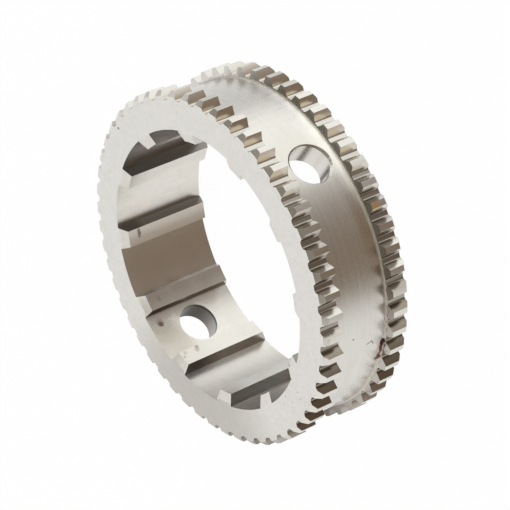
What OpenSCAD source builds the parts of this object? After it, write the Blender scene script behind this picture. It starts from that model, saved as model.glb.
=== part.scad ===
// Splined coupling sleeve: a one-piece steel shift collar.
// Its bore slides on a shaft with wide parallel splines, a shift fork runs in the groove round it,
// and either of its two rows of short teeth can slide into mesh with a toothed ring.
// The sleeve stands on its rear face: the bore's axis is Z and the front face is on top.

/* [Bore and splines] */
// Diameter of the bore across the lands of the spline teeth
bore_d = 81.7; // [72:0.1:100]
// Height of the spline teeth, from the floor of a space to a land
spline_h = 3.6; // [2:0.1:6]
// Number of spline teeth
spline_count = 12; // [6:2:14]
// Width of the parallel-sided space between two spline teeth
spline_space_w = 16; // [13:0.1:18]
// Height of the turned lead on both ends of the spline teeth
spline_lead_h = 3.2; // [0.5:0.1:3.4]
// Length of the same lead along the axis
spline_lead_l = 1.3; // [0.4:0.1:3]

/* [Fork groove] */
// Wall between the floor of a spline space and the floor of the groove
wall_t = 8.4; // [5:0.1:14]
// Width of the groove for the shift fork
groove_w = 19; // [16:0.1:28]
// Step from the bottom of the tooth gaps down to the floor of the groove
groove_step = 0.8; // [0.5:0.1:3]
// Fillet in both corners of the groove's floor
groove_r = 0.6; // [0.3:0.1:1.5]

/* [Outer teeth] */
// Number of teeth in each row
tooth_count = 52; // [36:2:60]
// Height of the teeth above the bottom of their gaps
tooth_h = 2.7; // [1.8:0.1:3.2]
// Width of a gap at its bottom
gap_w = 1.9; // [1.5:0.1:2.5]
// Slope of both flanks of a gap from its middle plane, in degrees
flank_angle = 30; // [15:1:34]
// Fillet in the bottom corners of a gap
gap_r = 0.9; // [0.2:0.1:1.2]
// Width of the front row, from the groove to the front face
front_row_w = 6.7; // [5:0.1:12]
// Width of the rear row, from the rear face to the groove
rear_row_w = 6.5; // [5:0.1:12]
// Height of the cone that points the teeth at each end face
point_h = 1.5; // [0.4:0.1:2.2]
// Length of the same cone along the axis
point_l = 1.3; // [0.4:0.1:3]
// Turn of the front row's first gap from the cross holes, in degrees
front_row_turn = 5.0; // [0:0.1:10]
// Turn of the rear row's first gap from the cross holes, in degrees
rear_row_turn = 4.3; // [0:0.1:10]

/* [Cross holes] */
// Diameter of the two holes drilled across the sleeve through the groove's floor
hole_d = 12.6; // [5:0.1:14]
// Broken edge round each hole's mouth
hole_edge = 0.4; // [0.2:0.1:1]

/* [Hidden] */
$fn = 96;

// How far a cut runs out past the face that it starts from
runout = 1;
land_r = bore_d / 2;
space_r = land_r + spline_h;
floor_r = space_r + wall_t;
root_r = floor_r + groove_step;
tip_r = root_r + tooth_h;
groove_low = rear_row_w;
groove_high = groove_low + groove_w;
sleeve_w = groove_high + front_row_w;
hole_r = hole_d / 2;
hole_z = groove_low + groove_w / 2;

// Half section of the turned blank, as radius and height
module blank_section() {
    difference() {
        polygon([
            [land_r, spline_lead_l],
            [land_r + spline_lead_h, 0],
            [tip_r - point_h, 0],
            [tip_r, point_l],
            [tip_r, sleeve_w - point_l],
            [tip_r - point_h, sleeve_w],
            [land_r + spline_lead_h, sleeve_w],
            [land_r, sleeve_w - spline_lead_l],
        ]);
        groove_section();
    }
}

// Half section of the fork groove: a slot with two rounded bottom corners
module groove_section() {
    translate([floor_r + groove_r, groove_low])
        square([tip_r - floor_r, groove_w]);
    translate([floor_r, groove_low + groove_r])
        square([2 * groove_r, groove_w - 2 * groove_r]);
    for (z = [groove_low + groove_r, groove_high - groove_r])
        translate([floor_r + groove_r, z])
            circle(groove_r);
}

// Section of one tooth gap along X: straight flanks, and a flat bottom with rounded corners
module gap_section() {
    // The fillet's centre stands off the middle plane by this much
    fillet_y = gap_w / 2 - gap_r * tan((90 - flank_angle) / 2);
    fillet_x = root_r + gap_r;
    // Each flank ends a hair inside its fillet, so that the two cross cleanly instead of just touching
    end_r = gap_r - 0.003;
    flank_x = fillet_x - end_r * sin(flank_angle);
    flank_y = fillet_y + end_r * cos(flank_angle);
    mouth_x = tip_r + runout;
    mouth_y = gap_w / 2 + (mouth_x - root_r) * tan(flank_angle);
    polygon([
        [root_r, -fillet_y], [fillet_x, -fillet_y], [flank_x, -flank_y], [mouth_x, -mouth_y],
        [mouth_x, mouth_y], [flank_x, flank_y], [fillet_x, fillet_y], [root_r, fillet_y],
    ]);
    for (side = [-1, 1])
        translate([fillet_x, side * fillet_y])
            circle(gap_r);
}

// The gaps of one row, cut along the axis between two heights
module row_gaps(low, high, turn) {
    translate([0, 0, low])
        linear_extrude(high - low)
            for (i = [0:tooth_count - 1])
                rotate(turn + i * 360 / tooth_count)
                    gap_section();
}

// Section of one spline space along X: parallel sides and a floor on the bore's largest circle
module space_section() {
    half_w = spline_space_w / 2;
    // The sides start inside the bore, short of the next space
    start = sqrt(pow(land_r, 2) - pow(half_w, 2)) - runout;
    intersection() {
        translate([start, -half_w])
            square([space_r, spline_space_w]);
        circle(space_r);
    }
}

// All the spline spaces, broached right through
module spline_spaces() {
    translate([0, 0, -runout])
        linear_extrude(sleeve_w + 2 * runout)
            for (i = [0:spline_count - 1])
                rotate(i * 360 / spline_count)
                    space_section();
}

// Two holes on one line across the sleeve, each with a broken edge at the groove's floor
module cross_holes() {
    reach = tip_r + runout;
    // The broken edge starts below the floor at the sides of the hole, and ends above its highest line
    edge_x = sqrt(pow(floor_r, 2) - pow(hole_r, 2)) - hole_edge;
    edge_l = floor_r + hole_edge - edge_x;
    translate([0, 0, hole_z]) {
        rotate([0, 90, 0])
            cylinder(h = 2 * reach, r = hole_r, center = true);
        for (turn = [0, 180])
            rotate([0, 0, turn])
                translate([edge_x, 0, 0])
                    rotate([0, 90, 0])
                        cylinder(h = edge_l, r1 = hole_r, r2 = hole_r + edge_l);
    }
}

module coupling_sleeve() {
    color([0.78, 0.76, 0.73])
        difference() {
            rotate_extrude()
                blank_section();
            spline_spaces();
            row_gaps(-runout, groove_low + runout, rear_row_turn);
            row_gaps(groove_high - runout, sleeve_w + runout, front_row_turn);
            cross_holes();
        }
}

coupling_sleeve();
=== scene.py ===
# %% [markdown]
# # Dressing a splined coupling sleeve
# The sleeve is one turned, broached and hobbed piece of bare steel. Its shape is already exact in the
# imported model, so this lesson keeps that shape and gives it what a photograph shows: soft edges, a satin
# steel that differs from zone to zone, a little rust, and a studio for the steel to mirror.

from math import cos, radians, sin

import bpy
from mathutils import Matrix, Vector

MM = 1000
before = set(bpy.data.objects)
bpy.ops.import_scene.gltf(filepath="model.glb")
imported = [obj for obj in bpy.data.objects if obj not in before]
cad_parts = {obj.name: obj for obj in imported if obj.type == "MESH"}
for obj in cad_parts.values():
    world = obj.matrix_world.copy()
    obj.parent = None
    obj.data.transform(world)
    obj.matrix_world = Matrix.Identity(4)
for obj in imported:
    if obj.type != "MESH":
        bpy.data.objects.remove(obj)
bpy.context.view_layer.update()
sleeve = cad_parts["coupling_sleeve"]
scene = bpy.context.scene
scene.view_settings.view_transform = "Standard"

# %% [markdown]
# ## The camera
# A long lens far away keeps the two rows of teeth almost the same size, which is how the photograph looks.
# The sleeve lies flat on its rear face here, but in the photograph it stands on its rim, so the camera is
# rolled about its own line of sight instead of tipping the part.

# %% Camera
VIEW_AZIMUTH = -18.441
VIEW_ELEVATION = 32.545
VIEW_ROLL = -112.761
VIEW_DISTANCE = 0.77727
AIM_POINT = Vector((0.00069, -0.00163, 0.01427))
LENS_MM = 180.95
SENSOR_MM = 36.0


def direction(azimuth, elevation):
    """Unit vector from two angles in degrees; azimuth 0 is along +X and 90 along +Y."""
    a, e = radians(azimuth), radians(elevation)
    return Vector((cos(a) * cos(e), sin(a) * cos(e), sin(e)))


def place_camera():
    lens = bpy.data.cameras.new("photo_camera")
    lens.lens = LENS_MM
    lens.sensor_width = SENSOR_MM
    camera = bpy.data.objects.new("photo_camera", lens)
    scene.collection.objects.link(camera)
    back = direction(VIEW_AZIMUTH, VIEW_ELEVATION)
    upright = Matrix.Rotation(radians(VIEW_ROLL), 3, back)
    right = upright @ Vector((0, 0, 1)).cross(back).normalized()
    above = back.cross(right)
    camera.matrix_world = Matrix.Translation(AIM_POINT + VIEW_DISTANCE * back) @ Matrix(
        (right, above, back)
    ).transposed().to_4x4()
    scene.camera = camera
    return camera


camera = place_camera()
print("camera stands at", [round(MM * c) for c in camera.matrix_world.translation], "mm")

# %% [markdown]
# ## Helpers for node trees
# Every material below is a tree of small nodes. These helpers add a node and fill or link its inputs, do
# arithmetic, make smooth steps, mix colours and make or use node groups, so that the cells that follow
# read like recipes.

# %% Node helpers
def fill(tree, socket, value):
    """Link an input to another node, or give it a value of its own."""
    if isinstance(value, bpy.types.NodeSocket):
        tree.links.new(value, socket)
    else:
        socket.default_value = value


def add_node(tree, kind, inputs=None, **settings):
    node = tree.nodes.new(kind)
    for name, value in settings.items():
        setattr(node, name, value)
    for key, value in (inputs or {}).items():
        fill(tree, node.inputs[key], value)
    return node


def calc(tree, operation, *values):
    return add_node(tree, "ShaderNodeMath", dict(enumerate(values)), operation=operation).outputs[0]


def product(tree, first, *others):
    for other in others:
        first = calc(tree, "MULTIPLY", first, other)
    return first


def invert(tree, mask):
    return calc(tree, "SUBTRACT", 1.0, mask)


def clamp(tree, value):
    return add_node(tree, "ShaderNodeClamp", {"Value": value}).outputs[0]


def vector_calc(tree, operation, *values, out=0):
    node = add_node(tree, "ShaderNodeVectorMath", dict(enumerate(values)), operation=operation)
    return node.outputs[out]


def scale(tree, vector, factor):
    return add_node(tree, "ShaderNodeVectorMath", {0: vector, "Scale": factor}, operation="SCALE").outputs[0]


def ramp(tree, value, low, high, to_low=0.0, to_high=1.0):
    """Smooth step from one value to another."""
    node = add_node(
        tree,
        "ShaderNodeMapRange",
        {"Value": value, "From Min": low, "From Max": high, "To Min": to_low, "To Max": to_high},
        interpolation_type="SMOOTHSTEP",
    )
    return node.outputs["Result"]


def mix_colour(tree, share, first, second, blend="MIX"):
    node = add_node(tree, "ShaderNodeMix", data_type="RGBA", blend_type=blend)
    for socket, value in ((node.inputs[0], share), (node.inputs[6], first), (node.inputs[7], second)):
        fill(tree, socket, value)
    return node.outputs[2]


def new_group(name, inputs, outputs):
    """A node group with named sockets, and its two end nodes."""
    group = bpy.data.node_groups.new(name, "ShaderNodeTree")
    for socket, kind, start in inputs:
        made = group.interface.new_socket(name=socket, in_out="INPUT", socket_type="NodeSocket" + kind)
        made.default_value = start
    for socket, kind in outputs:
        group.interface.new_socket(name=socket, in_out="OUTPUT", socket_type="NodeSocket" + kind)
    return group, group.nodes.new("NodeGroupInput").outputs, group.nodes.new("NodeGroupOutput").inputs


def use_group(tree, group, **inputs):
    node = tree.nodes.new("ShaderNodeGroup")
    node.node_tree = group
    for name, value in inputs.items():
        fill(tree, node.inputs[name], value)
    return node.outputs


print("helpers ready")

# %% [markdown]
# ## The studio
# Bare steel has hardly any colour of its own: it shows what stands round it. The studio is painted on the
# world by direction, as wide soft patches over plain white: a pale wall, dim warm corners of a room, white
# panels and a bright window. They are laid over each other in the order of the list and light the sleeve
# as big lamps would. The camera itself sees plain white.

# %% World
BACKDROP_WHITE = (1, 1, 1, 1)
# Each patch: azimuth, elevation, where it is full and where it ends, in degrees, and its colour
STUDIO_PATCHES = {
    "pale wall": (-155, 9, 70, 134, (0.72, 0.68, 0.63, 1)),
    "far room": (154, -49, 34, 81, (0.11, 0.06, 0.05, 1)),
    "dim room": (-46, 0, 24, 87, (0.22, 0.16, 0.11, 1)),
    "upper room": (75, 74, 35, 57, (0.27, 0.25, 0.20, 1)),
    "grey corner": (111, -51, 2, 38, (0.96, 0.98, 0.94, 1)),
    "backdrop": (163, -16, 14, 55, (1.02, 1.02, 1.02, 1)),
    "side panel": (148, 13, 8, 32, (1.0, 1.0, 1.0, 1)),
    "front panel": (156, 54, 2, 24, (1.24, 1.23, 1.20, 1)),
    "left wall": (-140, 30, 12, 48, (1.0, 0.98, 0.94, 1)),
    "left panel": (-119, -29, 22, 48, (0.94, 0.93, 0.89, 1)),
    "low window": (59, -45, 2, 24, (1.27, 1.26, 1.17, 1)),
    "sill": (25, -34, 2, 22, (1.15, 1.15, 1.08, 1)),
    "window": (30, 11, 20, 47, (1.45, 1.45, 1.35, 1)),
}


def make_patch_group():
    group, given, result = new_group(
        "soft patch",
        [("Direction", "Vector", (0, 0, 1)), ("Axis", "Vector", (0, 0, 1)),
         ("Full", "Float", 0.9), ("Gone", "Float", 0.5)],
        [("Mask", "Float")],
    )
    near = vector_calc(group, "DOT_PRODUCT", given["Direction"], given["Axis"], out="Value")
    mask = ramp(group, near, given["Gone"], given["Full"])
    group.links.new(mask, result["Mask"])
    return group


def make_world():
    world = bpy.data.worlds.new("studio")
    world.use_nodes = True
    tree = world.node_tree
    tree.nodes.clear()
    looking = add_node(tree, "ShaderNodeTexCoord").outputs["Generated"]
    patch = make_patch_group()
    colour = BACKDROP_WHITE
    for azimuth, elevation, full, gone, tint in STUDIO_PATCHES.values():
        mask = use_group(
            tree, patch, Direction=looking, Axis=direction(azimuth, elevation),
            Full=cos(radians(full)), Gone=cos(radians(gone)),
        )["Mask"]
        colour = mix_colour(tree, mask, colour, tint)
    ray = add_node(tree, "ShaderNodeLightPath").outputs
    plain = calc(tree, "MAXIMUM", ray["Is Camera Ray"], ray["Is Transmission Ray"])
    seen = mix_colour(tree, plain, colour, BACKDROP_WHITE)
    glow = add_node(tree, "ShaderNodeBackground", {"Color": seen, "Strength": 1.0})
    add_node(tree, "ShaderNodeOutputWorld", {"Surface": glow.outputs[0]})
    scene.world = world
    return len(STUDIO_PATCHES)


print("studio patches:", make_world())

# %% [markdown]
# ## The floor
# The sleeve stands on a pale floor. Most of what the camera sees of it is a plain white glow, and the rest
# is ordinary diffuse white, which keeps a faint shadow. Mirror rays pass the floor by and see the studio,
# because the real sleeve had no table close under its rear face.

# %% Floor
FLOOR_HALF = 3.0
FLOOR_DROP = 0.0001
FLOOR_GLOW = 0.985
FLOOR_PAINT = (0.9, 0.9, 0.9, 1)


def make_floor():
    around = ((-1, -1), (1, -1), (1, 1), (-1, 1))
    corners = [(x * FLOOR_HALF, y * FLOOR_HALF, -FLOOR_DROP) for x, y in around]
    mesh = bpy.data.meshes.new("floor")
    mesh.from_pydata(corners, [], [(0, 1, 2, 3)])
    floor = bpy.data.objects.new("floor", mesh)
    scene.collection.objects.link(floor)
    paint = bpy.data.materials.new("pale floor")
    paint.use_nodes = True
    tree = paint.node_tree
    tree.nodes.clear()
    ray = add_node(tree, "ShaderNodeLightPath").outputs
    seen = calc(tree, "MAXIMUM", ray["Is Camera Ray"], ray["Is Glossy Ray"])
    seen = calc(tree, "MAXIMUM", seen, ray["Is Transmission Ray"])
    share = calc(tree, "MULTIPLY", seen, FLOOR_GLOW)
    matt = add_node(tree, "ShaderNodeBsdfDiffuse", {"Color": FLOOR_PAINT})
    glow = add_node(tree, "ShaderNodeEmission", {"Color": BACKDROP_WHITE, "Strength": 1.0})
    both = add_node(tree, "ShaderNodeMixShader", {0: share, 1: matt.outputs[0], 2: glow.outputs[0]})
    add_node(tree, "ShaderNodeOutputMaterial", {"Surface": both.outputs[0]})
    mesh.materials.append(paint)
    floor.visible_glossy = False
    return floor


print("floor:", make_floor().name)

# %% [markdown]
# ## Soft edges
# No machined edge is perfectly sharp: it is broken with a file or a tumbler by less than a tenth of a
# millimetre, and that thin strip catches the light. A Weld modifier first joins the corners that the model
# file keeps apart, then a Bevel modifier rounds every edge that turns by more than the limit, and weighted
# normals keep the flat faces flat.

# %% Edges
EDGE_LIMIT = 38
EDGE_WIDTH = 0.00007
EDGE_STEPS = 2
WELD_REACH = 0.000002


def soften_edges():
    weld = sleeve.modifiers.new("join corners", "WELD")
    weld.merge_threshold = WELD_REACH
    bevel = sleeve.modifiers.new("broken edges", "BEVEL")
    bevel.limit_method = "ANGLE"
    bevel.angle_limit = radians(EDGE_LIMIT)
    bevel.width = EDGE_WIDTH
    bevel.segments = EDGE_STEPS
    bevel.face_strength_mode = "FSTR_ALL"
    normals = sleeve.modifiers.new("flat faces", "WEIGHTED_NORMAL")
    normals.mode = "FACE_AREA_WITH_ANGLE"
    normals.use_face_influence = True
    normals.keep_sharp = False


soften_edges()
shape = sleeve.evaluated_get(bpy.context.evaluated_depsgraph_get()).data
print("sleeve faces with soft edges:", len(shape.polygons))

# %% [markdown]
# ## Places on the sleeve
# The cutters left a different surface in each zone: the end faces are ground, the groove is turned, the
# bore is broached, the teeth are hobbed and the cross holes are drilled. A node group works the zones out
# from the position on the part, in millimetres, and from the way the surface faces, so one steel material
# can treat each in its own way.

# %% Zones
GROOVE_LOW, GROOVE_HIGH = 6.5, 25.5
GROOVE_MARGIN = 0.02
SPACE_RADIUS = 44.6
LAND_RADIUS = 40.85
LAND_MARGIN = 0.4
HOLE_HEIGHT, HOLE_RADIUS = 16.0, 6.45
SLEEVE_WIDTH = 32.2
FACE_MARGIN = 0.2
# Share of the normal along the axis above which a surface is one of these
FACE_FACING, WALL_FACING, LEAD_FACING = 0.97, 0.9, 0.6
# Share of the normal round the axis where a side of a tooth begins, and where it is full
SIDE_FACING = (0.45, 0.8)
ZONE_VALUES = (
    "Radius", "Height", "Around", "Face", "Groove", "Bore", "Teeth", "Hole",
    "Side", "Land", "Lead", "Wall", "Back",
)


def distance(tree, first, second):
    squares = calc(tree, "ADD", calc(tree, "POWER", first, 2.0), calc(tree, "POWER", second, 2.0))
    return calc(tree, "SQRT", squares)


def make_zone_group():
    group, _, result = new_group(
        "sleeve zones", [], [("Place", "Vector")] + [(name, "Float") for name in ZONE_VALUES],
    )
    where = add_node(group, "ShaderNodeTexCoord").outputs
    place = vector_calc(group, "MULTIPLY", where["Object"], (MM, MM, MM))
    part = add_node(group, "ShaderNodeSeparateXYZ", {0: place}).outputs
    facing = add_node(group, "ShaderNodeSeparateXYZ", {0: where["Normal"]}).outputs
    upright = calc(group, "ABSOLUTE", facing["Z"])
    radius = distance(group, part["X"], part["Y"])
    from_hole = distance(group, part["Y"], calc(group, "SUBTRACT", part["Z"], HOLE_HEIGHT))
    from_middle = calc(group, "ABSOLUTE", calc(group, "SUBTRACT", part["Z"], SLEEVE_WIDTH / 2))
    at_end = calc(group, "GREATER_THAN", from_middle, SLEEVE_WIDTH / 2 - FACE_MARGIN)
    face = product(group, calc(group, "GREATER_THAN", upright, FACE_FACING), at_end)
    outside_bore = calc(group, "GREATER_THAN", radius, SPACE_RADIUS)
    in_hole = product(group, calc(group, "LESS_THAN", from_hole, HOLE_RADIUS), outside_bore)
    in_groove = product(group, calc(group, "GREATER_THAN", part["Z"], GROOVE_LOW + GROOVE_MARGIN),
                        calc(group, "LESS_THAN", part["Z"], GROOVE_HIGH - GROOVE_MARGIN))
    groove = product(group, in_groove, outside_bore, invert(group, in_hole))
    not_face = invert(group, face)
    bore = product(group, invert(group, outside_bore), not_face)
    teeth = product(group, invert(group, in_groove), outside_bore, not_face)
    sideways = calc(group, "SUBTRACT", product(group, part["X"], facing["Y"]),
                    product(group, part["Y"], facing["X"]))
    side = ramp(group, calc(group, "DIVIDE", calc(group, "ABSOLUTE", sideways), radius), *SIDE_FACING)
    lead = product(group, bore, calc(group, "GREATER_THAN", upright, LEAD_FACING))
    on_land = calc(group, "LESS_THAN", radius, LAND_RADIUS + LAND_MARGIN)
    found = {
        "Place": place, "Radius": radius, "Height": part["Z"],
        "Around": calc(group, "ARCTAN2", part["Y"], part["X"]),
        "Face": face, "Groove": groove, "Bore": bore, "Teeth": teeth, "Hole": in_hole,
        "Side": side, "Lead": lead, "Land": product(group, bore, on_land, invert(group, lead)),
        "Wall": product(group, teeth, calc(group, "GREATER_THAN", upright, WALL_FACING)),
        "Back": calc(group, "LESS_THAN", part["X"], 0.0),
    }
    for name, value in found.items():
        group.links.new(value, result[name])
    return group


zone_group = make_zone_group()
print("zones:", ZONE_VALUES[3:])

# %% [markdown]
# ## Tool lines
# A lathe tool leaves fine rings, a broach leaves lines along the axis. Both are the same effect: noise
# that is stretched very long in one direction and squeezed in the other. The group takes the two running
# lengths and gives lines between 0 and 1.

# %% Tool lines
LINE_NOISE = {"Scale": 1.0, "Detail": 3.0, "Roughness": 0.65}


def make_line_group():
    group, given, result = new_group(
        "tool lines",
        [("Across", "Float", 0.0), ("Along", "Float", 0.0), ("Fine", "Float", 3.0), ("Long", "Float", 0.03)],
        [("Lines", "Float")],
    )
    spot = add_node(group, "ShaderNodeCombineXYZ", {
        "X": calc(group, "MULTIPLY", given["Across"], given["Fine"]),
        "Y": calc(group, "MULTIPLY", given["Along"], given["Long"]),
    }).outputs[0]
    waves = add_node(group, "ShaderNodeTexNoise", {"Vector": spot, **LINE_NOISE})
    group.links.new(waves.outputs["Fac"], result["Lines"])
    return group


line_group = make_line_group()
print("tool lines:", len(line_group.nodes), "nodes")

# %% [markdown]
# ## Rust, stains and scratches
# The sleeve has rust creeping along one corner of the groove, brown stains in the bore, a few dark specks and
# one hooked scratch, and painted shade browns one corner of a spline space in the bore. Each is a small mark
# at its own place on the part: a ball with a ragged edge, or a thin line between two points. Two node groups
# draw them.

# %% Mark groups
SPOT_NOISE = {"Scale": 1.6, "Detail": 3.0, "Roughness": 0.6}
SPOT_CORE = 0.55


def make_spot_group():
    group, given, result = new_group(
        "ragged spot",
        [("Place", "Vector", (0, 0, 0)), ("Centre", "Vector", (0, 0, 0)),
         ("Size", "Float", 1.0), ("Ragged", "Float", 0.5)],
        [("Mask", "Float")],
    )
    waves = add_node(group, "ShaderNodeTexNoise", {"Vector": given["Place"], **SPOT_NOISE}).outputs["Fac"]
    push = product(group, calc(group, "SUBTRACT", waves, 0.5), given["Ragged"])
    far = vector_calc(group, "DISTANCE", given["Place"], given["Centre"], out="Value")
    share = calc(group, "ADD", calc(group, "DIVIDE", far, given["Size"]), push)
    group.links.new(ramp(group, share, 1.0, SPOT_CORE), result["Mask"])
    return group


def make_scratch_group():
    group, given, result = new_group(
        "short scratch",
        [("Place", "Vector", (0, 0, 0)), ("Start", "Vector", (0, 0, 0)),
         ("Run", "Vector", (1, 0, 0)), ("Width", "Float", 0.2)],
        [("Mask", "Float")],
    )
    from_start = vector_calc(group, "SUBTRACT", given["Place"], given["Start"])
    passed = vector_calc(group, "DOT_PRODUCT", from_start, given["Run"], out="Value")
    whole = vector_calc(group, "DOT_PRODUCT", given["Run"], given["Run"], out="Value")
    done = clamp(group, calc(group, "DIVIDE", passed, whole))
    far = vector_calc(group, "DISTANCE", from_start, scale(group, given["Run"], done), out="Value")
    group.links.new(ramp(group, far, given["Width"], 0.0), result["Mask"])
    return group


spot_group = make_spot_group()
scratch_group = make_scratch_group()
print("mark groups:", spot_group.name, "and", scratch_group.name)

# %% [markdown]
# The marks themselves are listed with their centres in millimetres on the part, so a mark can be moved by
# changing one line. The rust runs along the groove's corner as a chain of small spots.

# %% Marks
# Each spot: centre in millimetres, size, raggedness, strength
RUST_SPOTS = [
    ((21.7, -48.2, 7.0), 1.15, 0.6, 1.0),
    ((21.0, -48.5, 7.2), 0.95, 0.7, 1.0),
    ((20.2, -48.8, 7.2), 0.8, 0.7, 0.95),
    ((19.5, -49.1, 7.3), 0.7, 0.7, 0.95),
    ((18.8, -49.4, 7.2), 0.7, 0.7, 0.95),
    ((18.0, -49.7, 7.0), 0.65, 0.8, 0.9),
    ((17.2, -49.9, 7.2), 0.55, 0.8, 0.75),
    ((16.4, -50.2, 7.4), 0.8, 0.8, 0.9),
    ((15.6, -50.4, 7.3), 1.0, 0.8, 1.0),
    ((15.2, -50.6, 7.9), 0.8, 0.9, 0.9),
]
STAIN_SPOTS = [
    ((-27.6, 30.2, 27.0), 0.7, 0.5, 0.7),
    ((-28.3, 29.5, 26.9), 0.9, 0.5, 0.75),
    ((-29.0, 28.8, 27.0), 0.7, 0.6, 0.65),
    ((-39.3, 11.2, 27.0), 0.65, 0.6, 0.55),
    ((-39.5, 10.5, 26.8), 0.75, 0.6, 0.55),
    ((-44.2, 4.9, 28.2), 1.8, 0.8, 0.25),
    ((-40.0, -8.5, 24.2), 0.9, 0.8, 0.40),
    ((-39.8, -9.2, 24.6), 1.1, 0.8, 0.25),
    ((-39.7, -9.9, 24.9), 0.7, 0.8, 0.20),
    ((-39.6, -10.2, 30.2), 0.5, 1.2, 0.3),
    ((-39.8, -9.0, 28.9), 0.9, 1.4, 0.15),
    ((19.5, -49.0, 7.7), 1.7, 1.0, 0.22),
    ((15.7, -50.3, 8.1), 1.4, 1.0, 0.3),
]
RED_SPOTS = [
    ((-44.2, 4.3, 28.3), 1.15, 0.6, 0.75),
    ((9.1, -39.9, 31.0), 0.6, 1.0, 0.7),
]
OCHRE_SPOTS = [
    ((52.9, -19.5, 4.9), 1.8, 0.9, 0.7),
]
DARK_SPECKS = [
    ((2.3, 52.3, 32.2), 0.55, 0.5, 0.8),
    ((6.8, -47.8, 32.2), 0.3, 0.8, 0.7),
    ((0.2, -45.6, 32.2), 0.3, 0.8, 0.6),
    ((6.1, -49.9, 32.2), 0.3, 0.8, 0.7),
    ((1.6, -48.5, 32.2), 0.25, 0.8, 0.6),
    ((-2.6, -47.0, 32.2), 0.25, 0.8, 0.5),
    ((26.5, -45.7, 18.9), 0.4, 0.5, 0.8),
]
# Painted shade lies in one corner of a spline space, and fades out in steps beside the hole
CORNER_SHADE_SPOTS = [
    ((-43.4, 9.6, 27.0), 7.5, 0.5, 0.55),
    ((-43.4, 9.6, 18.0), 8.0, 0.5, 0.5),
    ((-43.4, 9.6, 9.0), 7.0, 0.5, 0.4),
]
FADING_SHADE_SPOTS = [
    ((-44.3, 4.5, 28.5), 5.0, 0.5, 0.13),
    ((-44.3, 3.0, 28.5), 7.0, 0.5, 0.13),
    ((-44.3, 1.0, 28.5), 8.5, 0.5, 0.12),
    ((-44.3, -1.5, 28.5), 9.5, 0.5, 0.11),
    ((-44.3, -4.5, 28.5), 10.5, 0.5, 0.30),
]
HOOK_SCRATCH = [(22.8, -47.6, 13.25), (23.3, -47.4, 11.4), (22.2, -47.9, 10.8)]
HOOK_WIDTH = 0.30


def gather_spots(tree, place, spots, join="MAXIMUM"):
    mask = None
    for centre, size, ragged, strength in spots:
        spot = use_group(tree, spot_group, Place=place, Centre=centre, Size=size, Ragged=ragged)["Mask"]
        spot = calc(tree, "MULTIPLY", spot, strength)
        mask = spot if mask is None else calc(tree, join, mask, spot)
    return mask


def gather_scratch(tree, place, points, width):
    mask = None
    for start, end in zip(points, points[1:]):
        run = Vector(end) - Vector(start)
        line = use_group(tree, scratch_group, Place=place, Start=start, Run=run, Width=width)["Mask"]
        mask = line if mask is None else calc(tree, "MAXIMUM", mask, line)
    return mask


print("rust and stain spots:", len(RUST_SPOTS + STAIN_SPOTS + RED_SPOTS + OCHRE_SPOTS))
print("painted shade spots:", len(CORNER_SHADE_SPOTS + FADING_SHADE_SPOTS), "and specks:", len(DARK_SPECKS))

# %% [markdown]
# ## Sides of the sleeve
# Some tones lie on one side of the sleeve only, such as the painted shade on the wall behind the groove on
# the right. A side is given by its azimuth, the angle from it where the tone has gone, and the angle inside
# which it is full.

# %% Sides
def sector(tree, zone, side):
    """1 on the side of the sleeve that faces one azimuth, fading out between two angles from it."""
    azimuth, gone, full = side
    near = vector_calc(tree, "DOT_PRODUCT", zone["Place"], direction(azimuth, 0), out="Value")
    near = calc(tree, "DIVIDE", near, zone["Radius"])
    return ramp(tree, near, cos(radians(gone)), cos(radians(full)))


def tint(tree, share, colour, tone):
    """Darken or colour a surface by multiplying it with a tone."""
    return mix_colour(tree, share, colour, tone, "MULTIPLY")


print("a side fades between two angles from its azimuth")

# %% [markdown]
# ## Texture of the steel
# Rings fill the groove, broach strokes the bore and a fine grain the ground faces. They are gathered into
# one value that later shades the colour and changes the roughness a little. A softer noise mottles the
# larger surfaces.

# %% Texture
GROOVE_RADIUS = 52.85
RING_LINES = {"Fine": 3.2, "Long": 0.035}
BROACH_LINES = {"Fine": 2.2, "Long": 0.05}
GRAIN_NOISE = {"Scale": 0.9, "Detail": 6.0, "Roughness": 0.75}
CLOUD_NOISE = {"Scale": 0.09, "Detail": 2.0, "Roughness": 0.5}
MOTTLE_NOISE = {"Scale": 0.45, "Detail": 5.0, "Roughness": 0.65}
LINE_SPAN = (0.2, 0.8)
BROACH_DEPTH = (0.36, 0.64)
GRAIN_DEPTH = (0.42, 0.58)
SMOOTH_LEVEL = 0.5


def noise(tree, place, look):
    return add_node(tree, "ShaderNodeTexNoise", {"Vector": place, **look}).outputs["Fac"]


def make_texture(tree, zone):
    place = zone["Place"]
    run_round = calc(tree, "MULTIPLY", zone["Around"], GROOVE_RADIUS)
    rings = use_group(tree, line_group, Across=zone["Height"], Along=run_round, **RING_LINES)["Lines"]
    strokes = use_group(tree, line_group, Across=run_round, Along=zone["Height"], **BROACH_LINES)["Lines"]
    grain = noise(tree, place, GRAIN_NOISE)
    smooth = calc(tree, "ADD", zone["Teeth"], zone["Hole"])
    lines = calc(tree, "ADD", product(tree, rings, zone["Groove"]), product(tree, smooth, SMOOTH_LEVEL))
    broached = ramp(tree, strokes, *LINE_SPAN, *BROACH_DEPTH)
    lines = calc(tree, "ADD", lines, product(tree, broached, zone["Bore"]))
    grained = ramp(tree, grain, *LINE_SPAN, *GRAIN_DEPTH)
    lines = calc(tree, "ADD", lines, product(tree, grained, zone["Face"]))
    return {
        "run round": run_round, "rings": rings, "grain": grain, "lines": lines,
        "cloud": noise(tree, place, CLOUD_NOISE), "mottle": noise(tree, place, MOTTLE_NOISE),
    }


print("ring noise per mm:", RING_LINES["Fine"], "and broach noise:", BROACH_LINES["Fine"])
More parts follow.
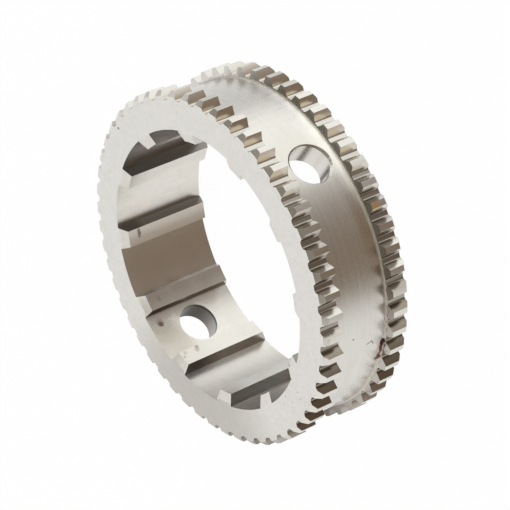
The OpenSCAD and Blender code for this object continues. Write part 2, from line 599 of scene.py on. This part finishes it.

# %% [markdown]
# ## Base colour
# Clean steel is a light warm grey. The ground faces and the leads are a little brighter than the rest, and a
# painted highlight lightens one side of the bore, most of all on its land. Tool lines and mottling then vary
# it by a few percent, so that no surface is one flat colour.

# %% Base colour
STEEL = (0.745, 0.735, 0.715, 1)
STEEL_WARM = (0.66, 0.62, 0.57, 1)
WARM_SPAN = (0.35, 0.75)
WARM_SHARE = 0.30
FACE_STEEL = (0.765, 0.755, 0.735, 1)
LEAD_STEEL = (0.77, 0.755, 0.73, 1)
# Painted highlight: one side of the bore is made lighter, most of all on its lands
PAINTED_LIGHT_STEEL = (0.97, 0.95, 0.92, 1)
PAINTED_LIGHT_SIDE = (134, 30, 8)
PAINTED_LIGHT_LAND = 0.6
PAINTED_LIGHT_BORE = 0.3
LINE_SHADE = (0.25, 0.75, 0.96, 1.03)
MOTTLE_SHADE = (0.3, 0.7, 0.965, 1.03)
BORE_RED = (1.0, 0.975, 0.955, 1)
RED_SPAN = (0.45, 0.65)


def base_colour(tree, zone, texture):
    warm = calc(tree, "MULTIPLY", ramp(tree, texture["cloud"], *WARM_SPAN), WARM_SHARE)
    colour = mix_colour(tree, warm, STEEL, STEEL_WARM)
    colour = mix_colour(tree, zone["Face"], colour, FACE_STEEL)
    # Painted highlight on one side of the bore, strongest on the lands
    painted_light = calc(tree, "ADD", product(tree, zone["Land"], PAINTED_LIGHT_LAND),
                  product(tree, zone["Bore"], PAINTED_LIGHT_BORE))
    painted_light = product(tree, sector(tree, zone, PAINTED_LIGHT_SIDE), painted_light)
    colour = mix_colour(tree, painted_light, colour, PAINTED_LIGHT_STEEL)
    colour = mix_colour(tree, zone["Lead"], colour, LEAD_STEEL)
    colour = tint(tree, 1.0, colour, ramp(tree, texture["lines"], *LINE_SHADE))
    mottled = calc(tree, "ADD", zone["Face"], zone["Bore"])
    colour = tint(tree, mottled, colour, ramp(tree, texture["mottle"], *MOTTLE_SHADE))
    reddish = product(tree, ramp(tree, texture["mottle"], *RED_SPAN), zone["Bore"])
    return tint(tree, reddish, colour, BORE_RED)


print("base steel:", STEEL[:3])

# %% [markdown]
# ## Tones on the outside
# In some places this studio leaves the steel too light, so painted shade is multiplied in: one side of the
# front face, the wall behind the groove, the gap bottoms, some tooth flanks and the teeth underneath. Some
# flanks also get a painted warm reflection, and the corner of the groove a warmer tone. Each tone multiplies
# the steel's colour on its own side, so the metal still mirrors the studio there, only darker.

# %% Outside tones
# Painted shade on one side of the front face
FACE_DIM = (0.75, 0.74, 0.72, 1)
FACE_DIM_SIDE = (-150, 46, 5)
# Painted shade on the wall behind the groove, strongest on two sides
WALL_SHADE = (0.62, 0.60, 0.57, 1)
WALL_SHADE_SIDES = [(-10, 53, 32), (-110, 22, 8)]
WALL_SHADE_LEAST = 0.25
ROOT_RADIUS = 53.65
TIP_RADIUS = 56.35
# Painted shade in the bottoms of the tooth gaps, darkest at the root; one side is mostly left unshaded
GAP_SHADE = (0.45, 0.42, 0.38, 1)
GAP_SHADE_HEIGHT = 1.4
GAP_SHADE_SHARE = 0.8
GAP_UNSHADED_SIDE = (35, 55, 30)
GAP_UNSHADED_SHARE = 0.8
# Painted shade on the tooth flanks of each row on one side of the sleeve
FLANK_DARK = (0.43, 0.385, 0.33, 1)
FRONT_FLANK_SIDE = (-77, 30, 14)
REAR_FLANK_SIDE = (-66, 28, 14)
# Painted warm reflection on the tooth flanks on one side
FLANK_WARM = (0.96, 0.90, 0.82, 1)
FLANK_WARM_SIDE = (22, 42, 20)
# Painted shade on the teeth on the underside
UNDER_DARK = (0.35, 0.33, 0.31, 1)
UNDER_SIDE = (-140, 40, 20)
# A warmer, slightly darker tone within a millimetre of the groove's rear corner
CORNER_WARM_TONE = (0.98, 0.92, 0.84, 1)
CORNER_WARM_SPAN = (GROOVE_LOW + 0.8, GROOVE_LOW + 0.3)
CORNER_WARM_SHARE = 0.6


def tone_outside(tree, zone, colour):
    # Painted shade darkens one side of the front face
    dim = product(tree, sector(tree, zone, FACE_DIM_SIDE), zone["Face"])
    colour = tint(tree, dim, colour, FACE_DIM)
    # Painted shade on the wall behind the groove
    wall_shade = calc(tree, "ADD", *[sector(tree, zone, side) for side in WALL_SHADE_SIDES])
    wall_shade = product(tree, calc(tree, "MAXIMUM", wall_shade, WALL_SHADE_LEAST), zone["Wall"])
    colour = tint(tree, wall_shade, colour, WALL_SHADE)

    # Painted shade near the roots of the tooth gaps
    gap = ramp(tree, zone["Radius"], ROOT_RADIUS + GAP_SHADE_HEIGHT, ROOT_RADIUS, 0.0, GAP_SHADE_SHARE)
    gap = product(tree, gap, calc(tree, "SUBTRACT", zone["Teeth"], zone["Wall"]))
    gap_unshaded = product(tree, sector(tree, zone, GAP_UNSHADED_SIDE), GAP_UNSHADED_SHARE)
    gap = product(tree, gap, invert(tree, gap_unshaded))
    colour = tint(tree, gap, colour, GAP_SHADE)

    flank = product(tree, zone["Side"], zone["Teeth"])
    rear_row = calc(tree, "LESS_THAN", zone["Height"], GROOVE_LOW)
    front_row = invert(tree, rear_row)
    # Painted shade on the flanks of the front and rear rows, each on its own side
    flank_shade = calc(tree, "ADD", product(tree, front_row, sector(tree, zone, FRONT_FLANK_SIDE)),
                   product(tree, rear_row, sector(tree, zone, REAR_FLANK_SIDE)))
    colour = tint(tree, product(tree, flank_shade, flank), colour, FLANK_DARK)
    # Painted warm reflection on the flanks on one side
    warmed = product(tree, sector(tree, zone, FLANK_WARM_SIDE), flank)
    colour = tint(tree, warmed, colour, FLANK_WARM)
    # Painted shade on the teeth underneath
    under = product(tree, sector(tree, zone, UNDER_SIDE), zone["Teeth"])
    colour = tint(tree, under, colour, UNDER_DARK)
    # Warmer tone beside the groove's rear corner
    corner = ramp(tree, zone["Height"], *CORNER_WARM_SPAN, 0.0, CORNER_WARM_SHARE)
    return tint(tree, product(tree, corner, zone["Groove"]), colour, CORNER_WARM_TONE)


print("painted wall shade on", len(WALL_SHADE_SIDES), "sides")

# %% [markdown]
# ## Tones in the bore
# The sides of the splines get painted shade in the same way. At the back of the bore it is darkest near the
# front face. Painted shade darkens the wall of the far cross hole, with a darker painted rim, and browns the
# corner of the space beside it.

# %% Bore tones
# Painted shade on the sides of the splines, darkest at the back of the bore near the front face
SPLINE_SHADE = (0.20, 0.195, 0.185, 1)
SPLINE_SHADE_SPAN = (34, 20)
SPLINE_BACK_SIDE = (165, 65, 40)
SPLINE_DEPTH = (16, 28, 0.34, 1.0)
SPLINE_UPPER_SIDE = (122, 38, 18)
SPLINE_UPPER_SHARE = 0.82
SPLINE_OTHER_SHARE = 0.60
# Painted shade inside the far cross hole, and a darker painted rim round it
HOLE_SHADE = (0.10, 0.095, 0.09, 1)
HOLE_SHADE_SPAN = (-3.0, 5.0, 0.62, 1.0)
HOLE_RIM = (0.30, 0.29, 0.27, 1)
HOLE_RIM_SPAN = (46.2, 45.2)
# Painted shade in one corner of a spline space, weaker on the land
SPACE_CORNER_SHADE = (0.52, 0.48, 0.42, 1)
SHADE_ON_LAND = 0.35


def tone_bore(tree, zone, colour):
    place = zone["Place"]
    spread = add_node(tree, "ShaderNodeSeparateXYZ", {0: place}).outputs
    far_hole = product(tree, zone["Hole"], zone["Back"])
    # Painted shade in the far cross hole and on its rim
    hole_shade = product(tree, far_hole, ramp(tree, spread["Y"], *HOLE_SHADE_SPAN))
    colour = tint(tree, hole_shade, colour, HOLE_SHADE)
    rim = product(tree, far_hole, ramp(tree, zone["Radius"], *HOLE_RIM_SPAN))
    colour = tint(tree, rim, colour, HOLE_RIM)

    back = sector(tree, zone, SPLINE_BACK_SIDE)
    deep = product(tree, ramp(tree, zone["Height"], *SPLINE_DEPTH), back)
    upper = product(tree, sector(tree, zone, SPLINE_UPPER_SIDE), SPLINE_UPPER_SHARE)
    other = product(tree, invert(tree, back), SPLINE_OTHER_SHARE)
    deep = calc(tree, "MAXIMUM", deep, calc(tree, "MAXIMUM", upper, other))
    shaded = product(tree, zone["Side"], zone["Bore"], ramp(tree, spread["X"], *SPLINE_SHADE_SPAN), deep)
    colour = tint(tree, shaded, colour, SPLINE_SHADE)

    # Painted shade in one corner of a spline space, fading out beside the hole
    space_shade = calc(tree, "MAXIMUM", gather_spots(tree, place, CORNER_SHADE_SPOTS),
                gather_spots(tree, place, FADING_SHADE_SPOTS, "ADD"))
    space_shade = product(tree, space_shade, ramp(tree, zone["Land"], 0.0, 1.0, 1.0, SHADE_ON_LAND), zone["Bore"])
    return tint(tree, space_shade, colour, SPACE_CORNER_SHADE)


print("painted corner shade on a land:", SHADE_ON_LAND)

# %% [markdown]
# ## Marks over the steel
# Marks cover what is below them, so they are mixed over the colour instead of multiplying it. Rust goes
# from nearly black to orange along its run. Rust and stains also come back as a dirt mask, because dirt is
# rough and not metallic.

# %% Marks over the steel
RUST_DEEP = (0.085, 0.034, 0.026, 1)
RUST_ORANGE = (0.30, 0.135, 0.07, 1)
RUST_RUN = (21.0, 16.5)
STAIN_BROWN = (0.24, 0.155, 0.10, 1)
STAIN_RED = (0.26, 0.14, 0.085, 1)
STAIN_OCHRE = (0.95, 0.62, 0.24, 1)
SPECK_DARK = (0.11, 0.10, 0.09, 1)
STAIN_DIRT = 0.7


def cover_with_marks(tree, zone, texture, colour):
    """The colour with the marks over it, the rust's mask and the mask of all dirt."""
    place = zone["Place"]
    stain = gather_spots(tree, place, STAIN_SPOTS)
    red = gather_spots(tree, place, RED_SPOTS)
    ochre = gather_spots(tree, place, OCHRE_SPOTS)
    rust = gather_spots(tree, place, RUST_SPOTS)
    speck = gather_spots(tree, place, DARK_SPECKS)
    hook = gather_scratch(tree, place, HOOK_SCRATCH, HOOK_WIDTH)
    colour = mix_colour(tree, stain, colour, STAIN_BROWN)
    colour = mix_colour(tree, red, colour, STAIN_RED)
    colour = mix_colour(tree, ochre, colour, STAIN_OCHRE)
    across = add_node(tree, "ShaderNodeSeparateXYZ", {0: place}).outputs["X"]
    lower = calc(tree, "ADD", ramp(tree, across, *RUST_RUN), calc(tree, "SUBTRACT", texture["grain"], 0.5))
    rust_tone = mix_colour(tree, clamp(tree, lower), RUST_DEEP, RUST_ORANGE)
    colour = mix_colour(tree, rust, colour, rust_tone)
    colour = mix_colour(tree, calc(tree, "MAXIMUM", speck, hook), colour, SPECK_DARK)
    dirt = calc(tree, "MAXIMUM", calc(tree, "MAXIMUM", rust, red), product(tree, stain, STAIN_DIRT))
    return colour, rust, dirt


print("rust turns from dark to orange between x =", RUST_RUN[0], "and", RUST_RUN[1], "mm")

# %% [markdown]
# ## Roughness
# Roughness tells the zones apart: the ground faces are matt, the turned groove and the tooth flanks are
# smoother and mirror the studio more clearly. The fillet behind the groove and all dirt are rougher.

# %% Roughness
ZONE_ROUGHNESS = {"Face": 0.40, "Groove": 0.27, "Bore": 0.26, "Teeth": 0.19, "Hole": 0.26, "Lead": 0.18}
FLANK_ROUGHNESS = 0.04
LINE_ROUGHNESS = (0.2, 0.8, 0.02, -0.02)
FILLET_SPAN = (GROOVE_LOW + 1.2, GROOVE_LOW + 0.5)
FILLET_ROUGHNESS = 0.25
DIRT_ROUGHNESS = 0.45


def make_roughness(tree, zone, texture, dirt):
    flank = product(tree, zone["Side"], zone["Teeth"])
    rough = product(tree, flank, FLANK_ROUGHNESS)
    for name, value in ZONE_ROUGHNESS.items():
        rough = calc(tree, "ADD", rough, product(tree, zone[name], value))
    rough = calc(tree, "ADD", rough, ramp(tree, texture["lines"], *LINE_ROUGHNESS))
    fillet = ramp(tree, zone["Height"], *FILLET_SPAN, 0.0, FILLET_ROUGHNESS)
    rough = calc(tree, "ADD", rough, product(tree, fillet, zone["Groove"]))
    return calc(tree, "ADD", rough, product(tree, dirt, DIRT_ROUGHNESS))


print("roughness by zone:", ZONE_ROUGHNESS)

# %% [markdown]
# ## Tipped normals
# Very fine turning rings are too small to model, but they spread the mirror image along the axis. Tipping
# the shading normal does the same. It is also tipped beside the groove's rear corner, on the leads, which
# then mirror like flatter cones, and on the tooth flanks, which then mirror like slightly crowned ones. The
# shape itself stays as it is.

# %% Tipped normals
FINE_RINGS = {"Fine": 70.0, "Long": 0.02}
RING_TILT = 0.9
CORNER_TILT = 0.30
CORNER_REACH = 6.5
CORNER_SIDE = (8, 50, 25)
LEAD_TILT = 1.5
FLANK_CROWN = 0.12


def worked_normal(tree, zone, run_round):
    plain = add_node(tree, "ShaderNodeNewGeometry").outputs["Normal"]
    fine = use_group(tree, line_group, Across=zone["Height"], Along=run_round, **FINE_RINGS)["Lines"]
    tilt = calc(tree, "MULTIPLY", calc(tree, "SUBTRACT", fine, 0.5), RING_TILT)
    corner = ramp(tree, zone["Height"], GROOVE_LOW + CORNER_REACH, GROOVE_LOW, 0.0, CORNER_TILT)
    tilt = calc(tree, "ADD", tilt, product(tree, corner, sector(tree, zone, CORNER_SIDE)))
    end = calc(tree, "SIGN", add_node(tree, "ShaderNodeSeparateXYZ", {0: plain}).outputs["Z"])
    lift = calc(tree, "ADD", product(tree, tilt, zone["Groove"]), product(tree, zone["Lead"], end, LEAD_TILT))
    up = add_node(tree, "ShaderNodeCombineXYZ", {"Z": lift}).outputs[0]
    crown = ramp(tree, zone["Radius"], ROOT_RADIUS, TIP_RADIUS, 0.0, FLANK_CROWN)
    crown = product(tree, crown, zone["Side"], zone["Teeth"])
    outward = vector_calc(tree, "NORMALIZE", vector_calc(tree, "MULTIPLY", zone["Place"], (1, 1, 0)))
    tipped = vector_calc(tree, "ADD", plain, up)
    tipped = vector_calc(tree, "ADD", tipped, scale(tree, outward, crown))
    return vector_calc(tree, "NORMALIZE", tipped)


print("tilt of the fine rings:", RING_TILT)

# %% [markdown]
# ## The steel put together
# One metallic shader carries everything that the cells above made: colour, roughness, dirt that isn't
# metal, and a shallow bump for the rings and the crust of the rust. The sleeve keeps its mesh and gets the
# new material in its slot.

# %% Steel
DIRT_NOT_METAL = 0.85
RING_HEIGHT = 0.06
RUST_HEIGHT = 1.5
BUMP = {"Strength": 0.3, "Distance": 0.00002}


def make_steel():
    steel = bpy.data.materials.new("machined steel")
    steel.use_nodes = True
    tree = steel.node_tree
    tree.nodes.clear()
    zone = use_group(tree, zone_group)
    texture = make_texture(tree, zone)
    colour = base_colour(tree, zone, texture)
    colour = tone_outside(tree, zone, colour)
    colour = tone_bore(tree, zone, colour)
    colour, rust, dirt = cover_with_marks(tree, zone, texture, colour)
    rough = make_roughness(tree, zone, texture, dirt)
    metal = invert(tree, product(tree, dirt, DIRT_NOT_METAL))
    rings = product(tree, texture["rings"], zone["Groove"], RING_HEIGHT)
    height = calc(tree, "ADD", rings, product(tree, rust, RUST_HEIGHT))
    normal = worked_normal(tree, zone, texture["run round"])
    bump = add_node(tree, "ShaderNodeBump", {"Height": height, "Normal": normal, **BUMP})
    shader = add_node(tree, "ShaderNodeBsdfPrincipled", {
        "Base Color": colour, "Roughness": rough, "Metallic": metal, "Normal": bump.outputs[0],
    })
    add_node(tree, "ShaderNodeOutputMaterial", {"Surface": shader.outputs[0]})
    return steel


steel = make_steel()
sleeve.material_slots[0].material = steel
print("steel nodes:", len(steel.node_tree.nodes))

# %% [markdown]
# ## Finish
# Dressing must not change the part's size, and the view layer is brought up to date at the end.

# %% Finish
bpy.context.view_layer.update()
